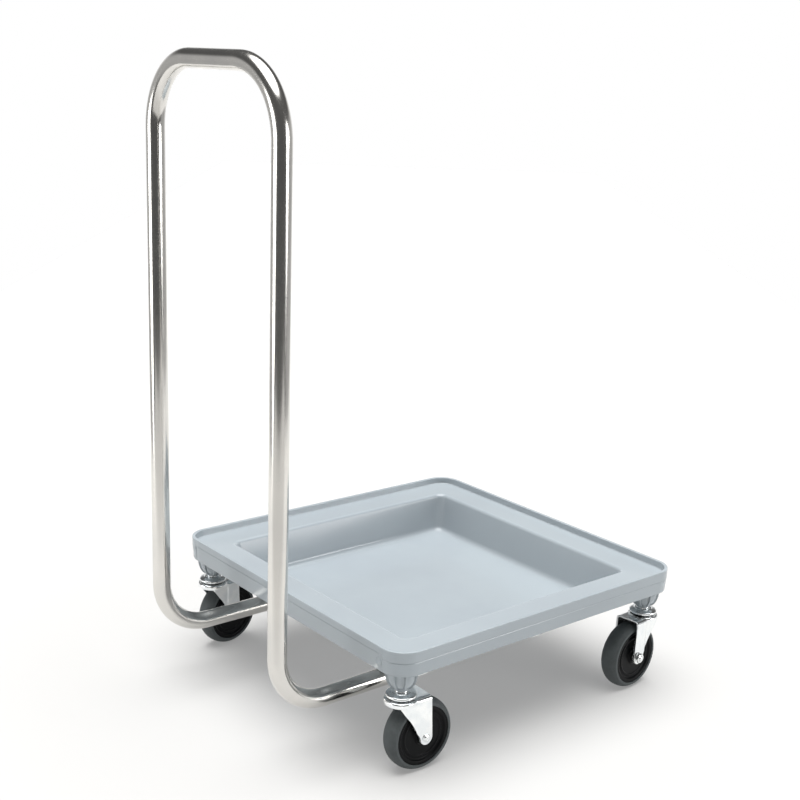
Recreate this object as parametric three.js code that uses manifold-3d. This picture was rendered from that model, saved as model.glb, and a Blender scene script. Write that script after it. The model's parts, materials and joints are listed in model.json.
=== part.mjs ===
// Rack dolly: a square moulded tray on four swivel casters, pushed by one bent stainless tube.
// Millimetres, +Z up, +Y the way it is pushed, +X to the right of the person pushing.
// The origin lies on the floor, under the middle of the whole dolly.
import * as THREE from 'three';
import { mergeVertices } from 'three/addons/utils/BufferGeometryUtils.js';
import Module from 'manifold-3d';

const wasm = await Module();
wasm.setup();

// ---- Clearances ----
const seatGap = 0.3;          // between pieces that rest on each other
const holeGap = 0.3;          // round a screw, bolt or stem, on the radius
const turnGap = 0.6;          // round the stem, where the fork turns

// ---- Wheel ----
const wheelRadius = 50;
const treadWidth = 28;
const tyreWall = 9;           // hub rim to tread
const treadCrown = 4;         // drop from the tread's middle to its shoulders
const hubDish = 3;            // how far the hub's face sinks inside its rim
const hubBossRadius = 12;
const axleRadius = 4;
const bushWall = 1.9;

// ---- Caster head and fork ----
const trail = 28.6;           // swivel axis to axle, measured level
const wheelHeadroom = 5.7;    // tyre to the fork's top plate
const forkSheet = 2.8;
const forkHalfWidth = 20;     // outer face of a leg
const legOffset = 1.5;        // step between the web and the stiffened strip of a leg
const stripBack = 36;         // rear edge of the strip, behind the swivel axis
const stripFront = 16;
const legTipRadius = 10;
const flangeRadius = 22.8;
const flangeDrop = 7.6;       // depth of the flange's turned-down edge
const capRadius = 20.7;
const capHeight = 6.1;
const raceHeight = 2.8;       // gap between the flange and the cap, filled by the ball ring
const raceRadius = 16;
const stemRadius = 6;
const stemLength = 44;        // length inside the tray's boss
const stemCollarRadius = 9.6;
const stemCollarHeight = 2;
const kingHeadRadius = 9;
const kingHeadHeight = 5.5;
const boltHeadRadius = 6.4;
const boltHeadHeight = 2.8;
const nutAcrossFlats = 13;
const nutHeight = 4.5;
const boltOverhang = 2;       // thread showing past the nut

// ---- Tray ----
const trayWidth = 530;        // along X
const trayDepth = 530;        // along Y
const trayCorner = 34;        // outer corner radius, seen from above
const skirtHeight = 35;
const skirtWall = 4;
const skirtTaper = 2;
const partingHeight = 19.3;   // parting line above the skirt's bottom edge
const lipHeight = 10;
const lipWall = 5;
const ledgeWidth = 50;
const trayWall = 3.5;
const wellDepth = 59;         // ledge to well floor
const wellDraft = 12.5;       // how far each wall leans in from top to bottom
const wellCorner = 12;
const ledgeFillet = 5;
const floorFillet = 7;
const casterInset = 32;       // tray edge to swivel axis
const bossDrop = 29;          // the boss reaches this far below the skirt
const bossRadius = 10.5;
const gussetRadius = 23;
const gussetWall = 3;
const gussetCount = 8;

// ---- Handle ----
const tubeRadius = 12.7;
const tubeWall = 1.5;
const handleHeight = 908;     // floor to the top of the tube
const handleSetback = 103;    // tray edge to the middle of the posts
const topBend = 90;           // bend radii, on the tube's middle line
const lowBend = 73.5;
const tubeInset = 49.5;       // edge of the well floor to the middle of the tube
const saddleRise = 7.2;       // tray underside to the top of the tube
const runPastSaddle = 30;     // tube end past the front saddle
const plugLength = 16;
const plugRim = 2.5;

// ---- Saddles, clips and their screws ----
const saddleY = [-150, 70];   // from the tray's middle
const saddleLength = 28;
const clipLength = 20;
const clipSheet = 2;
const earReach = 13;          // how far a clip's ear reaches past its loop
const earLift = 0.5;          // underside of the ears above the tube's middle
const screwRadius = 2.4;
const screwBite = 12;
const screwHeadRadius = 4.5;
const screwHeadHeight = 2.8;

// ---- Facets ----
const wheelSides = 32;
const hubSides = 24;
const smallSides = 18;
const screwSides = 10;
const tubeSides = 16;
const plateSteps = 4;         // along each curve of a pressed or moulded outline
const bendSteps = 6;
const cornerSteps = 5;

// ---- Heights above the floor ----
const forkTop = 2 * wheelRadius + wheelHeadroom + forkSheet;
const capBottom = forkTop + raceHeight;
const capTop = capBottom + capHeight;
const bossBottom = capTop + stemCollarHeight + 2 * seatGap;
const skirtBottom = bossBottom + bossDrop;
const rimTop = skirtBottom + skirtHeight;
const ledgeTop = rimTop - lipHeight;
const wellFloor = ledgeTop - wellDepth;
const wellUnderside = wellFloor - trayWall;
const tubeZ = wellUnderside - saddleRise - tubeRadius;

// ---- Places on the plan ----
const trayY = (handleSetback + tubeRadius) / 2;
const wellFloorInset = lipWall + ledgeWidth + wellDraft;
const tubeX = trayWidth / 2 - wellFloorInset - tubeInset;
const postY = trayY - trayDepth / 2 - handleSetback;
const runEndY = trayY + saddleY[1] + runPastSaddle;

// Colour, roughness and metalness of each finish.
const finishes = {
  polypropylene: ['#c3cbd1', 0.38, 0],
  stainless: ['#c9c7c2', 0.22, 1],
  zinc: ['#c4c9cb', 0.3, 1],
  blackPlastic: ['#101214', 0.45, 0],
  greyRubber: ['#4b4f51', 0.7, 0],
  steel: ['#8d9092', 0.35, 1],
};

function piece(name, geometry, finish) {
  const [color, roughness, metalness] = finishes[finish];
  const mesh = new THREE.Mesh(geometry, new THREE.MeshStandardMaterial({ color, roughness, metalness }));
  mesh.name = name;
  return mesh;
}

// ---- Solids ----
function toSolid(geometry) {
  const bare = geometry.clone();
  bare.deleteAttribute('normal');
  bare.deleteAttribute('uv');
  const merged = mergeVertices(bare, 1e-4);
  const mesh = new wasm.Mesh({
    numProp: 3,
    vertProperties: Float32Array.from(merged.attributes.position.array),
    triVerts: Uint32Array.from(merged.index.array),
  });
  return new wasm.Manifold(mesh);
}

function toGeometry(solid) {
  const mesh = solid.getMesh();
  const geometry = new THREE.BufferGeometry();
  geometry.setAttribute('position', new THREE.BufferAttribute(mesh.vertProperties, 3));
  geometry.setIndex(new THREE.BufferAttribute(mesh.triVerts, 1));
  geometry.computeVertexNormals();
  return geometry;
}

function combine(first, added, removed = []) {
  let solid = toSolid(first);
  for (const geometry of added) solid = solid.add(toSolid(geometry));
  for (const geometry of removed) solid = solid.subtract(toSolid(geometry));
  return toGeometry(solid);
}

// A closed profile of [radius, height] points turned about Z.
function turned(profile, sides) {
  const points = profile.map(([radius, height]) => new THREE.Vector2(radius, height));
  points.push(points[0].clone());
  const geometry = new THREE.LatheGeometry(points, sides);
  return geometry.rotateX(Math.PI / 2);
}

// A profile whose first and last points lie on the axis, turned about Z.
function turnedSolid(profile, sides) {
  const points = profile.map(([radius, height]) => new THREE.Vector2(radius, height));
  return new THREE.LatheGeometry(points, sides).rotateX(Math.PI / 2);
}

function upright(radius, bottom, top, sides) {
  const geometry = new THREE.CylinderGeometry(radius, radius, top - bottom, sides);
  return geometry.rotateX(Math.PI / 2).translate(0, 0, (bottom + top) / 2);
}

function block(x0, x1, y0, y1, z0, z1) {
  const geometry = new THREE.BoxGeometry(x1 - x0, y1 - y0, z1 - z0);
  return geometry.translate((x0 + x1) / 2, (y0 + y1) / 2, (z0 + z1) / 2);
}

// A [y, z] outline given a thickness along X, from x0 to x1.
function sidePlate(outline, x0, x1) {
  const geometry = new THREE.ExtrudeGeometry(outline, {
    depth: x1 - x0,
    bevelEnabled: false,
    curveSegments: plateSteps,
  });
  geometry.rotateX(Math.PI / 2).rotateZ(Math.PI / 2);
  return geometry.translate(x0, 0, 0);
}

// ---- Tray ----
// Points round a rounded rectangle, at one height.
function ring(inset, corner, z) {
  const halfX = trayWidth / 2 - inset;
  const halfY = trayDepth / 2 - inset;
  const points = [];
  const corners = [[1, 1, 0], [-1, 1, 1], [-1, -1, 2], [1, -1, 3]];
  for (const [sx, sy, quarter] of corners) {
    for (let i = 0; i <= cornerSteps; i += 1) {
      const angle = (quarter + i / cornerSteps) * Math.PI / 2;
      const x = sx * (halfX - corner) + corner * Math.cos(angle);
      const y = sy * (halfY - corner) + corner * Math.sin(angle);
      points.push([x, y, z]);
    }
  }
  return points;
}

// A skin over a list of rings, closed by a flat fan on its first and last ring.
function skinned(rings) {
  const count = rings[0].length;
  const last = rings.length - 1;
  const positions = rings.flat(2);
  const index = [];
  for (let row = 0; row < last; row += 1) {
    for (let i = 0; i < count; i += 1) {
      const a = row * count + i;
      const b = row * count + (i + 1) % count;
      index.push(a, b, b + count, a, b + count, a + count);
    }
  }
  const firstCentre = positions.length / 3;
  positions.push(0, 0, rings[0][0][2], 0, 0, rings[last][0][2]);
  for (let i = 0; i < count; i += 1) {
    const next = (i + 1) % count;
    index.push(firstCentre, next, i);
    index.push(firstCentre + 1, last * count + i, last * count + next);
  }
  const geometry = new THREE.BufferGeometry();
  geometry.setAttribute('position', new THREE.Float32BufferAttribute(positions, 3));
  geometry.setIndex(index);
  return geometry;
}

// The tray's shell, from the middle of its underside, out and over the rim, into the well.
function trayShell() {
  const wallSlope = wellDraft / wellDepth;
  const wellTop = lipWall + ledgeWidth;
  const rim = 1.2;
  const edge = 2;
  const ledgeUnderside = ledgeTop - trayWall;
  const outside = (z) => wellTop - trayWall + (ledgeTop - z) * wallSlope;
  const partingZ = skirtBottom + partingHeight;
  const rings = [
    ring(wellFloorInset + floorFillet - trayWall, wellCorner, wellUnderside),
    ring(outside(wellUnderside) + 2, wellCorner + 1, wellUnderside + 1.2),
    ring(outside(wellUnderside + floorFillet), wellCorner + trayWall, wellUnderside + floorFillet),
    ring(outside(ledgeUnderside), wellCorner + trayWall, ledgeUnderside),
    ring(skirtWall + rim, trayCorner - skirtWall, ledgeUnderside),
    ring(skirtWall + skirtTaper, trayCorner - skirtWall, skirtBottom + edge / 2),
    ring(skirtWall / 2 + skirtTaper + edge / 2, trayCorner - skirtWall / 2, skirtBottom),
    ring(skirtTaper + edge / 3, trayCorner - edge, skirtBottom + edge / 3),
    ring(skirtTaper, trayCorner, skirtBottom + edge),
    ring(0.4, trayCorner, partingZ - 0.3),
    ring(0, trayCorner, partingZ + 0.3),
    ring(0, trayCorner, rimTop - rim),
    ring(rim, trayCorner - rim, rimTop),
    ring(lipWall - rim, trayCorner - lipWall + rim, rimTop),
    ring(lipWall, trayCorner - lipWall, rimTop - rim),
    ring(lipWall, trayCorner - lipWall, ledgeTop + rim),
    ring(lipWall + rim, trayCorner - lipWall - rim, ledgeTop),
    ring(wellTop - ledgeFillet, wellCorner + ledgeFillet, ledgeTop),
    ring(wellTop - ledgeFillet * 0.3, wellCorner + ledgeFillet * 0.3, ledgeTop - ledgeFillet * 0.3),
    ring(wellTop + ledgeFillet * wallSlope, wellCorner, ledgeTop - ledgeFillet),
    ring(wellFloorInset - floorFillet * wallSlope, wellCorner, wellFloor + floorFillet),
    ring(wellFloorInset + floorFillet * 0.3, wellCorner, wellFloor + floorFillet * 0.3),
    ring(wellFloorInset + floorFillet, wellCorner, wellFloor),
  ];
  return skinned(rings);
}

// One gusset of a caster boss: wide under the ledge, drawn in to the boss at its foot.
function gusset(angle) {
  const outline = new THREE.Shape();
  outline.moveTo(0, bossBottom + 2);
  outline.lineTo(bossRadius, bossBottom + 2);
  outline.quadraticCurveTo(gussetRadius, skirtBottom - bossDrop / 3, gussetRadius, skirtBottom);
  outline.lineTo(gussetRadius, ledgeTop - trayWall / 2);
  outline.lineTo(0, ledgeTop - trayWall / 2);
  const geometry = sidePlate(outline, -gussetWall / 2, gussetWall / 2);
  return geometry.rotateZ(angle);
}

function casterPlaces() {
  const x = trayWidth / 2 - casterInset;
  const y = trayDepth / 2 - casterInset;
  return [
    { name: 'rear_right', x, y: -y, turn: -2 },
    { name: 'rear_left', x: -x, y: -y, turn: 9.4 },
    { name: 'front_right', x, y, turn: 183.6 },
    { name: 'front_left', x: -x, y, turn: 176 },
  ];
}

function tray() {
  const added = [];
  const removed = [];
  for (const { x, y } of casterPlaces()) {
    added.push(upright(bossRadius, bossBottom, ledgeTop - trayWall / 2, smallSides).translate(x, y, 0));
    for (let i = 0; i < gussetCount; i += 1) {
      added.push(gusset((i + 0.5) * 2 * Math.PI / gussetCount).translate(x, y, 0));
    }
    const boreTop = bossBottom + stemLength + seatGap;
    removed.push(upright(stemRadius + holeGap, bossBottom - 1, boreTop, smallSides).translate(x, y, 0));
  }
  const blockHalf = tubeRadius + clipSheet + earReach + 2;
  const blockBottom = tubeZ + earLift + clipSheet + seatGap;
  for (const side of [-1, 1]) {
    for (const y of saddleY) {
      const half = saddleLength / 2;
      const x = side * tubeX;
      added.push(block(x - blockHalf, x + blockHalf, y - half, y + half, blockBottom, wellUnderside + trayWall / 2));
      const cradle = new THREE.CylinderGeometry(tubeRadius + seatGap, tubeRadius + seatGap, saddleLength + 2, tubeSides);
      removed.push(cradle.translate(x, y, tubeZ));
      for (const offset of screwOffsets()) {
        const hole = upright(screwRadius + holeGap, blockBottom - 1, blockBottom + screwBite + seatGap, screwSides);
        removed.push(hole.translate(x + offset, y, 0));
      }
    }
  }
  return piece('tray', combine(trayShell(), added, removed), 'polypropylene');
}

// ---- Handle ----
// A curve that is cut only at the stations it is given.
class StationCurve extends THREE.Curve {
  constructor(stations) {
    super();
    this.stations = stations;
  }

  at(u, key) {
    const place = u * (this.stations.length - 1);
    const low = Math.min(Math.floor(place), this.stations.length - 2);
    return this.stations[low][key].clone().lerp(this.stations[low + 1][key], place - low);
  }

  getPoint(u, target = new THREE.Vector3()) {
    return target.copy(this.at(u, 'point'));
  }

  getPointAt(u, target) {
    return this.getPoint(u, target);
  }

  getTangent(u, target = new THREE.Vector3()) {
    return target.copy(this.at(u, 'tangent')).normalize();
  }

  getTangentAt(u, target) {
    return this.getTangent(u, target);
  }
}

// Stations along straight runs through the corners, each corner rounded to its bend radius.
function bentRoute(corners) {
  const stations = [];
  corners.forEach(({ point, bend }, i) => {
    const before = corners[i - 1];
    const after = corners[i + 1];
    const inward = before ? point.clone().sub(before.point).normalize() : null;
    const outward = after ? after.point.clone().sub(point).normalize() : null;
    if (!bend) {
      stations.push({ point, tangent: inward ?? outward });
      return;
    }
    const centre = point.clone().addScaledVector(inward, -bend).addScaledVector(outward, bend);
    for (let k = 0; k <= bendSteps; k += 1) {
      const angle = (k / bendSteps) * Math.PI / 2;
      const place = centre.clone();
      place.addScaledVector(outward, -bend * Math.cos(angle));
      place.addScaledVector(inward, bend * Math.sin(angle));
      const tangent = inward.clone().multiplyScalar(Math.cos(angle));
      stations.push({ point: place, tangent: tangent.addScaledVector(outward, Math.sin(angle)) });
    }
  });
  return new StationCurve(stations);
}

function handleTube() {
  const topZ = handleHeight - tubeRadius;
  const at = (x, y, z) => new THREE.Vector3(x, y, z);
  const route = bentRoute([
    { point: at(-tubeX, runEndY, tubeZ), bend: 0 },
    { point: at(-tubeX, postY, tubeZ), bend: lowBend },
    { point: at(-tubeX, postY, topZ), bend: topBend },
    { point: at(tubeX, postY, topZ), bend: topBend },
    { point: at(tubeX, postY, tubeZ), bend: lowBend },
    { point: at(tubeX, runEndY, tubeZ), bend: 0 },
  ]);
  const section = new THREE.Shape().absarc(0, 0, tubeRadius, 0, 2 * Math.PI, false);
  section.holes.push(new THREE.Path().absarc(0, 0, tubeRadius - tubeWall, 0, 2 * Math.PI, true));
  const geometry = new THREE.ExtrudeGeometry(section, {
    extrudePath: route,
    steps: route.stations.length - 1,
    curveSegments: tubeSides / 2,
  });
  return piece('handle_tube', geometry, 'stainless');
}

function endPlug(name, side) {
  const bore = tubeRadius - tubeWall;
  const geometry = turnedSolid([
    [0, -plugLength],
    [bore - seatGap - 1, -plugLength],
    [bore - seatGap, -plugLength + 2],
    [bore - seatGap, seatGap],
    [tubeRadius, seatGap],
    [tubeRadius, seatGap + plugRim - 1],
    [tubeRadius - 1, seatGap + plugRim],
    [0, seatGap + plugRim],
  ], smallSides);
  const plug = piece(name, geometry.rotateX(-Math.PI / 2), 'blackPlastic');
  plug.position.set(side * tubeX, runEndY, tubeZ);
  return plug;
}

// ---- Saddle clips ----
function screwOffsets() {
  const reach = tubeRadius + clipSheet + earReach / 2;
  return [-reach, reach];
}

// A strap under the tube, with a flat ear on each side, screwed up into the saddle.
function saddleClip(name, side, y) {
  const inner = tubeRadius + seatGap;
  const outer = inner + clipSheet;
  const ear = outer + earReach;
  const low = earLift;
  const high = earLift + clipSheet;
  const outline = new THREE.Shape();
  outline.moveTo(-ear, low);
  outline.lineTo(-outer, low);
  outline.absarc(0, 0, outer, Math.PI, 2 * Math.PI, false);
  outline.lineTo(outer, low);
  outline.lineTo(ear, low);
  outline.lineTo(ear, high);
  outline.lineTo(inner, high);
  outline.lineTo(inner, 0);
  outline.absarc(0, 0, inner, 2 * Math.PI, Math.PI, true);
  outline.lineTo(-inner, high);
  outline.lineTo(-ear, high);
  const strap = new THREE.ExtrudeGeometry(outline, { depth: clipLength, bevelEnabled: false, curveSegments: plateSteps });
  strap.rotateX(Math.PI / 2).translate(0, clipLength / 2, 0);
  const holes = [];
  for (const offset of screwOffsets()) {
    holes.push(upright(screwRadius + holeGap, low - 1, high + 1, screwSides).translate(offset, 0, 0));
  }
  const clip = piece(name, combine(strap, [], holes), 'zinc');
  clip.position.set(side * tubeX, trayY + y, tubeZ);
  return clip;
}

function clipScrew(name, x, y) {
  const under = earLift - seatGap;
  const geometry = turnedSolid([
    [0, under - screwHeadHeight],
    [screwHeadRadius * 0.6, under - screwHeadHeight],
    [screwHeadRadius, under - screwHeadHeight / 2],
    [screwHeadRadius, under],
    [screwRadius, under],
    [screwRadius, earLift + clipSheet + screwBite - 2],
    [0, earLift + clipSheet + screwBite],
  ], screwSides);
  const screw = piece(name, geometry, 'zinc');
  screw.position.set(x, trayY + y, tubeZ);
  return screw;
}

function handleFixings() {
  const pieces = [];
  for (const [sideName, side] of [['left', -1], ['right', 1]]) {
    pieces.push(endPlug(`tube_plug_${sideName}`, side));
    saddleY.forEach((y, i) => {
      const where = `${['rear', 'front'][i]}_${sideName}`;
      pieces.push(saddleClip(`saddle_clip_${where}`, side, y));
      screwOffsets().forEach((offset, k) => {
        pieces.push(clipScrew(`clip_screw_${where}_${k + 1}`, side * tubeX + offset, y));
      });
    });
  }
  return pieces;
}

// ---- Caster: swivel axis on Z, wheel trailing towards +Y, axle along X ----
const stripInner = forkHalfWidth - forkSheet;

// Stem, with its collar under the boss and the riveted head that holds the fork on.
function stem(name) {
  const headTop = forkTop - forkSheet - seatGap;
  const geometry = turnedSolid([
    [0, headTop - kingHeadHeight],
    [kingHeadRadius * 0.6, headTop - kingHeadHeight],
    [kingHeadRadius, headTop - kingHeadHeight / 2],
    [kingHeadRadius, headTop],
    [stemRadius, headTop],
    [stemRadius, capTop + seatGap],
    [stemCollarRadius, capTop + seatGap],
    [stemCollarRadius, capTop + seatGap + stemCollarHeight],
    [stemRadius, capTop + seatGap + stemCollarHeight],
    [stemRadius, bossBottom + stemLength - 2],
    [stemRadius - 1, bossBottom + stemLength],
    [0, bossBottom + stemLength],
  ], smallSides);
  return piece(name, geometry, 'zinc');
}

function raceCap(name) {
  const bore = stemRadius + holeGap;
  const geometry = turned([
    [bore, capBottom + 2],
    [raceRadius - 3, capBottom + 2],
    [raceRadius, capBottom + 1.6],
    [raceRadius + 2.4, capBottom],
    [capRadius, capBottom],
    [capRadius, capBottom + capHeight * 0.45],
    [capRadius - 2.2, capBottom + capHeight * 0.8],
    [capRadius - 7, capTop],
    [bore, capTop],
  ], smallSides);
  return piece(name, geometry, 'zinc');
}

function ballRing(name) {
  const middle = (forkTop + capBottom) / 2;
  const half = raceHeight / 2 - seatGap;
  const geometry = turned([
    [raceRadius - 3, middle - half],
    [raceRadius + 1, middle - half],
    [raceRadius + 2, middle],
    [raceRadius + 1, middle + half],
    [raceRadius - 3, middle + half],
  ], smallSides);
  return piece(name, geometry, 'steel');
}

// The web of a fork leg, which curves forward from the axle up to the flange.
function webOutline() {
  const outline = new THREE.Shape();
  outline.moveTo(stripFront + 4, forkTop);
  outline.lineTo(stripFront + 4, wheelRadius + 4);
  outline.lineTo(stripFront - 0.6, wheelRadius + 4);
  outline.quadraticCurveTo(stripFront - 5, wheelRadius + 16, 4.5, wheelRadius + 28);
  outline.quadraticCurveTo(-2, wheelRadius + 36, -9, forkTop - flangeDrop);
  outline.lineTo(-9, forkTop);
  return outline;
}

// The stiffened strip of a fork leg, round at its tip about the axle.
function stripOutline() {
  const outline = new THREE.Shape();
  outline.moveTo(stripBack, forkTop);
  outline.lineTo(stripFront, forkTop);
  outline.lineTo(trail - legTipRadius, wheelRadius + 6);
  outline.lineTo(trail - legTipRadius, wheelRadius);
  outline.absarc(trail, wheelRadius, legTipRadius, Math.PI, 2 * Math.PI, false);
  outline.lineTo(trail + legTipRadius - 0.6, wheelRadius + 6);
  return outline;
}

function fork(name) {
  const underside = forkTop - forkSheet;
  const flange = turned([
    [stemRadius + turnGap, underside],
    [flangeRadius - forkSheet - 2, underside],
    [flangeRadius - forkSheet, underside - 2],
    [flangeRadius - forkSheet, forkTop - flangeDrop],
    [flangeRadius, forkTop - flangeDrop],
    [flangeRadius, forkTop - 2],
    [flangeRadius - 2, forkTop],
    [stemRadius + turnGap, forkTop],
  ], smallSides);
  const added = [block(-forkHalfWidth, forkHalfWidth, stemRadius + 2, stripBack, underside, forkTop)];
  const removed = [];
  for (const side of [-1, 1]) {
    const strip = side * (forkHalfWidth - forkSheet / 2);
    const web = side * (forkHalfWidth - legOffset - forkSheet / 2);
    const half = forkSheet / 2;
    added.push(sidePlate(stripOutline(), strip - half, strip + half));
    added.push(sidePlate(webOutline(), web - half, web + half));
  }
  const reach = 2 * forkHalfWidth;
  const axleHole = new THREE.CylinderGeometry(axleRadius + holeGap, axleRadius + holeGap, 2 * reach, screwSides);
  removed.push(axleHole.rotateZ(Math.PI / 2).translate(0, trail, wheelRadius));
  removed.push(upright(stemRadius + turnGap, underside - 2, forkTop + 2, smallSides));
  return piece(name, combine(flange, added, removed), 'zinc');
}

// Turns a piece made about Z so that it lies on the axle, and puts it there.
function onAxle(mesh, side = 1) {
  mesh.geometry.rotateY(side * Math.PI / 2);
  mesh.position.set(0, trail, wheelRadius);
  return mesh;
}

function axleBolt(name) {
  const under = forkHalfWidth + seatGap;
  const end = -(under + nutHeight + boltOverhang);
  const geometry = turnedSolid([
    [0, end],
    [axleRadius - 0.8, end],
    [axleRadius, end + 0.8],
    [axleRadius, under],
    [boltHeadRadius, under],
    [boltHeadRadius, under + boltHeadHeight * 0.4],
    [boltHeadRadius * 0.7, under + boltHeadHeight],
    [0, under + boltHeadHeight],
  ], screwSides);
  return onAxle(piece(name, geometry, 'zinc'));
}

function axleNut(name) {
  const cornerRadius = nutAcrossFlats / Math.sqrt(3);
  const outline = new THREE.Shape();
  for (let i = 0; i < 6; i += 1) {
    const angle = i * Math.PI / 3;
    const corner = [cornerRadius * Math.cos(angle), cornerRadius * Math.sin(angle)];
    if (i === 0) outline.moveTo(...corner);
    else outline.lineTo(...corner);
  }
  outline.holes.push(new THREE.Path().absarc(0, 0, axleRadius + holeGap, 0, 2 * Math.PI, true));
  const geometry = new THREE.ExtrudeGeometry(outline, {
    depth: nutHeight - seatGap,
    bevelEnabled: false,
    curveSegments: screwSides / 2,
  });
  geometry.translate(0, 0, -(forkHalfWidth + nutHeight));
  return onAxle(piece(name, geometry, 'zinc'));
}

// The sleeve that the bolt clamps between the legs, and that the hub turns on.
function axleBush(name) {
  const inner = axleRadius + holeGap;
  const half = stripInner - seatGap;
  const geometry = turned([
    [inner, -half],
    [inner + bushWall, -half],
    [inner + bushWall, half],
    [inner, half],
  ], smallSides);
  return onAxle(piece(name, geometry, 'steel'));
}

function wheelHub(name) {
  const bore = axleRadius + holeGap + bushWall + holeGap;
  const rim = wheelRadius - tyreWall;
  const half = treadWidth / 2;
  const dish = half - hubDish;
  const bossHalf = half - 0.5;
  const geometry = turned([
    [bore, -bossHalf],
    [hubBossRadius, -bossHalf],
    [hubBossRadius + 1.5, -dish],
    [rim - 6, -dish],
    [rim - 4, -half + 1],
    [rim, -half + 1],
    [rim, half - 1],
    [rim - 4, half - 1],
    [rim - 6, dish],
    [hubBossRadius + 1.5, dish],
    [hubBossRadius, bossHalf],
    [bore, bossHalf],
  ], hubSides);
  return onAxle(piece(name, geometry, 'blackPlastic'));
}

function tyre(name) {
  const inner = wheelRadius - tyreWall + seatGap;
  const half = treadWidth / 2;
  const geometry = turned([
    [inner, -half],
    [wheelRadius - treadCrown, -half],
    [wheelRadius - treadCrown * 0.3, -half * 0.72],
    [wheelRadius, -half * 0.3],
    [wheelRadius, half * 0.3],
    [wheelRadius - treadCrown * 0.3, half * 0.72],
    [wheelRadius - treadCrown, half],
    [inner, half],
  ], wheelSides);
  return onAxle(piece(name, geometry, 'greyRubber'));
}

function caster({ name, x, y, turn }) {
  const group = new THREE.Group();
  group.add(stem(`${name}_stem`));
  group.add(raceCap(`${name}_race_cap`));
  group.add(ballRing(`${name}_ball_ring`));
  group.add(fork(`${name}_fork`));
  group.add(axleBolt(`${name}_axle_bolt`));
  group.add(axleNut(`${name}_axle_nut`));
  group.add(axleBush(`${name}_axle_bush`));
  group.add(wheelHub(`${name}_wheel_hub`));
  group.add(tyre(`${name}_tyre`));
  group.position.set(x, trayY + y, 0);
  group.rotation.z = THREE.MathUtils.degToRad(turn);
  return group;
}

// ---- Assembly ----
const dolly = new THREE.Group();
const deck = tray();
deck.position.y = trayY;
dolly.add(deck);
dolly.add(handleTube());
dolly.add(...handleFixings());
for (const place of casterPlaces()) dolly.add(caster(place));

export default dolly;
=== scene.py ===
import json
import math

import bpy
import numpy as np
from bpy.props import FloatProperty, FloatVectorProperty, IntProperty, PointerProperty
from bpy.types import Operator, Panel, PropertyGroup
from mathutils import Matrix, Vector


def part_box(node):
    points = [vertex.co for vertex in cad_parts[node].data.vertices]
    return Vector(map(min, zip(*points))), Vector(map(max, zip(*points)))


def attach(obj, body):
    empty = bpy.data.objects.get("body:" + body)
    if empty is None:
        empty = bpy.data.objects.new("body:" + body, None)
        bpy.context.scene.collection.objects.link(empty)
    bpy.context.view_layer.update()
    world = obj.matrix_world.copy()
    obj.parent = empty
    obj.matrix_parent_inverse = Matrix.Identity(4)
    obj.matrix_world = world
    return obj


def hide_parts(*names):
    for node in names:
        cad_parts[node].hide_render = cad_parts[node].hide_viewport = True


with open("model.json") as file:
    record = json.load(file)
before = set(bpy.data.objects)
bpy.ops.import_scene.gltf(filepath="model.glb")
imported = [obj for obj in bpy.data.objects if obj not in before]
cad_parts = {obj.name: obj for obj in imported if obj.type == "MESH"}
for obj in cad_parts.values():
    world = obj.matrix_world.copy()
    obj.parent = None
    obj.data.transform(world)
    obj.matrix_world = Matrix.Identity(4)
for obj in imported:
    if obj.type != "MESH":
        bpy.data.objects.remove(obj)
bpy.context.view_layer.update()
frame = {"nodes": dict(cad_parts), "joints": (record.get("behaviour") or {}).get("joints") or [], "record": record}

bl_info = {
    "name": "Rack Dolly",
    "version": (1, 0, 0),
    "blender": (4, 5, 0),
    "location": "View3D > Sidebar > Dolly",
    "description": "Builds a moulded rack dolly with a bent tube handle and four swivel casters",
    "category": "Object",
}

MM = 0.001
# Between a piece and the one that turns in it or slips over it
PLAY = 0.3 * MM
STEM_RADIUS = 6 * MM
BOLT_RADIUS = 4 * MM
BUSH_RADIUS = 6.2 * MM
TUBE_WALL = 1.5 * MM
# The way from the dolly to the studio's open, dark end
OPEN_END = (0.774, -0.633, 0.0)


# ---------------- sizes and colours
def length(name, description, default):
    return FloatProperty(name=name, description=description, default=default, unit="LENGTH", precision=4)


def colour(name, description, default):
    return FloatVectorProperty(
        name=name, description=description, default=default, size=4, subtype="COLOR", min=0, max=1
    )


class DollySizes(PropertyGroup):
    """Sizes that the frame's boxes don't give by themselves."""

    tray_corner: length("Tray corner", "Outer corner radius of the tray, from above", 0.034)
    tray_wall: length("Tray wall", "Wall of the ledge, the well and its floor", 0.0035)
    skirt: length("Skirt", "Height of the skirt, from its foot to the rim", 0.035)
    skirt_wall: length("Skirt wall", "Wall of the skirt", 0.004)
    lip_wall: length("Lip wall", "Thickness of the raised lip", 0.005)
    ledge_width: length("Ledge width", "Lip to the well's edge", 0.05)
    well_draft: length("Well draft", "How far a well wall leans in", 0.0125)
    well_corner: length("Well corner", "Corner radius of the well", 0.012)
    boss_radius: length("Boss radius", "Radius of a caster boss", 0.0105)
    boss_height: length("Boss height", "From a boss's foot to the top of its stem", 0.044)
    gusset_radius: length("Gusset radius", "Reach of a boss's gussets", 0.023)
    top_bend: length("Top bend", "Middle-line radius of the handle's upper bends", 0.09)
    low_bend: length("Lower bend", "Middle-line radius of the handle's lower bends", 0.0735)
    tread_width: length("Tread width", "Width of a tyre", 0.028)
    tyre_wall: length("Tyre wall", "Depth of rubber on a wheel", 0.009)
    fork_sheet: length("Fork sheet", "Thickness of a fork's sheet", 0.0028)
    fork_width: length("Fork width", "Outer width of a fork across its legs", 0.04)
    leg_step: length("Leg step", "Step between a leg's web and its strip", 0.0015)
    balls: IntProperty(name="Balls", description="Balls in a race", default=20, min=6, max=40)


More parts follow.
